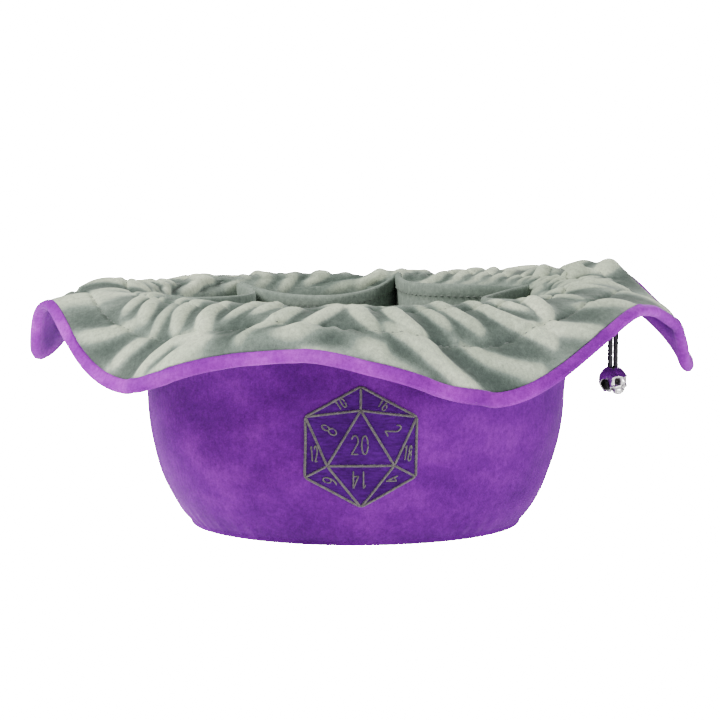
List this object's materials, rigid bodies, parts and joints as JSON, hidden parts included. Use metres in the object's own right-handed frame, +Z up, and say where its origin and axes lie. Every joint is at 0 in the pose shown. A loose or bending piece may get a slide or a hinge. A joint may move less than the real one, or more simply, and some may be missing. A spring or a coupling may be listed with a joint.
{
  "type": "drawstring dice bag",
  "caption": "Round plush drawstring pouch standing open, with a wide wavy lined brim, inner pockets, an embroidered die and a cord ending in a metal skull bead.",
  "frame": {"origin": "centre of the base, on the surface that the bag stands on", "axes": "+Z up, +X towards the side where the drawcord comes out, -Y towards the embroidered front"},
  "size_m": [0.2521, 0.2345, 0.097],
  "materials": {
    "purple_plush": "short-pile plush, soft sheen",
    "grey_plush": "short-pile plush, soft sheen",
    "interlining": "fused non-woven wadding, matte",
    "stiffener_board": "flat board, matte",
    "grey_thread": "spun sewing thread",
    "purple_thread": "spun sewing thread",
    "badge_thread": "embroidery fill",
    "badge_line_thread": "embroidery satin stitch",
    "black_cord": "braided cord",
    "antique_silver": "polished casting with dark recesses"
  },
  "bodies": {
    "bag": {"outer_wall": "purple_plush", "outer_base": "purple_plush", "base_piping": "purple_plush", "outer_brim": "purple_plush", "lining_wall": "grey_plush", "lining_base": "grey_plush", "lining_brim": "grey_plush", "wall_interlining": "interlining", "base_stiffener": "stiffener_board", "casing_stitch_inner": "grey_thread", "casing_stitch_outer": "grey_thread", "pocket_hem_stitching": "grey_thread", "pocket_seam_stitching": "grey_thread", "exit_buttonhole": "purple_thread", "d20_fill_stitch": "badge_thread", "d20_line_stitch": "badge_line_thread", "drawstring_loop": "black_cord", "pocket_panel_1": "grey_plush", "pocket_panel_2": "grey_plush", "pocket_panel_3": "grey_plush", "pocket_panel_4": "grey_plush", "pocket_panel_5": "grey_plush", "pocket_panel_6": "grey_plush", "pocket_panel_7": "grey_plush"},
    "cord_tail": {"cord_strand_a": "black_cord", "cord_strand_b": "black_cord"},
    "cord_end": {"end_knot": "black_cord"},
    "bead": {"skull_bead": "antique_silver"}
  },
  "joints": [
    {"name": "tail_swing", "type": "hinge", "parent": "bag", "child": "cord_tail", "pos_m": [0.09824, 0, 0.08103], "axis": [0, 1, 0], "range_deg": [-40, 8]},
    {"name": "drawstring_pull", "type": "slide", "parent": "cord_tail", "child": "cord_end", "axis": [0, 0, -1], "range_m": [0, 0.038], "deforming": ["cord_strand_a", "cord_strand_b"]},
    {"name": "bead_slide", "type": "slide", "parent": "cord_end", "child": "bead", "axis": [0, 0, 1], "range_m": [0, 0.012]}
  ]
}
